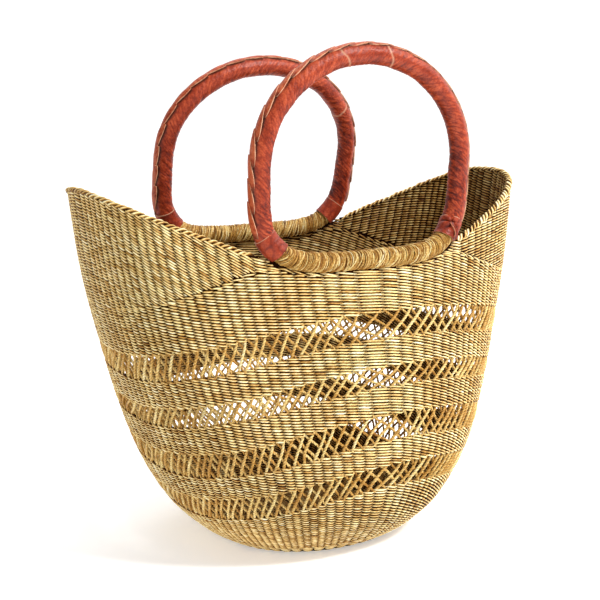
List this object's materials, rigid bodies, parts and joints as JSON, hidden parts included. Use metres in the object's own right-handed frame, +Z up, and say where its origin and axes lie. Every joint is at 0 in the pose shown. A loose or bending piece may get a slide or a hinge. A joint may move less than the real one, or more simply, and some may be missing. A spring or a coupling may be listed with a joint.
{
  "type": "bolga basket",
  "caption": "Open woven grass basket with raised wing ends, openwork bands of crossed stakes and two leather-covered ring handles hinged at the rim.",
  "frame": {"origin": "on the floor under the middle of the basket", "axes": "+X from the left wing to the right wing, -Y to the front, +Z up"},
  "size_m": [0.4366, 0.2674, 0.4434],
  "materials": {
    "grass_weave": "pale twisted grass in twined rows",
    "grass_border": "braided grass edge",
    "grass_roll": "grass bound round a bundle",
    "grass_core": "bundle of grass",
    "leather": "soft wrinkled goat leather with a low sheen",
    "leather_lace": "leather lace with darker cut edges"
  },
  "bodies": {
    "basket": {"base_disc": "grass_weave", "foot_band": "grass_weave", "openwork_1_outer": "grass_weave", "openwork_1_inner": "grass_weave", "woven_band_1": "grass_weave", "openwork_2_outer": "grass_weave", "openwork_2_inner": "grass_weave", "woven_band_2": "grass_weave", "openwork_3_outer": "grass_weave", "openwork_3_inner": "grass_weave", "woven_band_3": "grass_weave", "openwork_4_outer": "grass_weave", "openwork_4_inner": "grass_weave", "upper_band": "grass_weave", "wing_left": "grass_weave", "wing_right": "grass_weave", "wing_border_left": "grass_border", "wing_border_right": "grass_border", "rim_roll_front": "grass_roll", "rim_roll_back": "grass_roll", "foot_cuff_front_left": "leather", "foot_cuff_front_right": "leather", "foot_cuff_back_left": "leather", "foot_cuff_back_right": "leather"},
    "hoop_front": {"handle_core_front": "grass_core", "handle_leather_front": "leather", "handle_lacing_front": "leather_lace"},
    "hoop_back": {"handle_core_back": "grass_core", "handle_leather_back": "leather", "handle_lacing_back": "leather_lace"}
  },
  "joints": [
    {"name": "front_handle_tilt", "type": "hinge", "parent": "basket", "child": "hoop_front", "pos_m": [0, -0.09571, 0.285], "axis": [-1, 0, 0], "range_deg": [-8, 24], "stiffness_Nm_per_rad": 1.5},
    {"name": "back_handle_tilt", "type": "hinge", "parent": "basket", "child": "hoop_back", "pos_m": [0, 0.09571, 0.285], "axis": [1, 0, 0], "range_deg": [-20, 10], "stiffness_Nm_per_rad": 1.5}
  ]
}
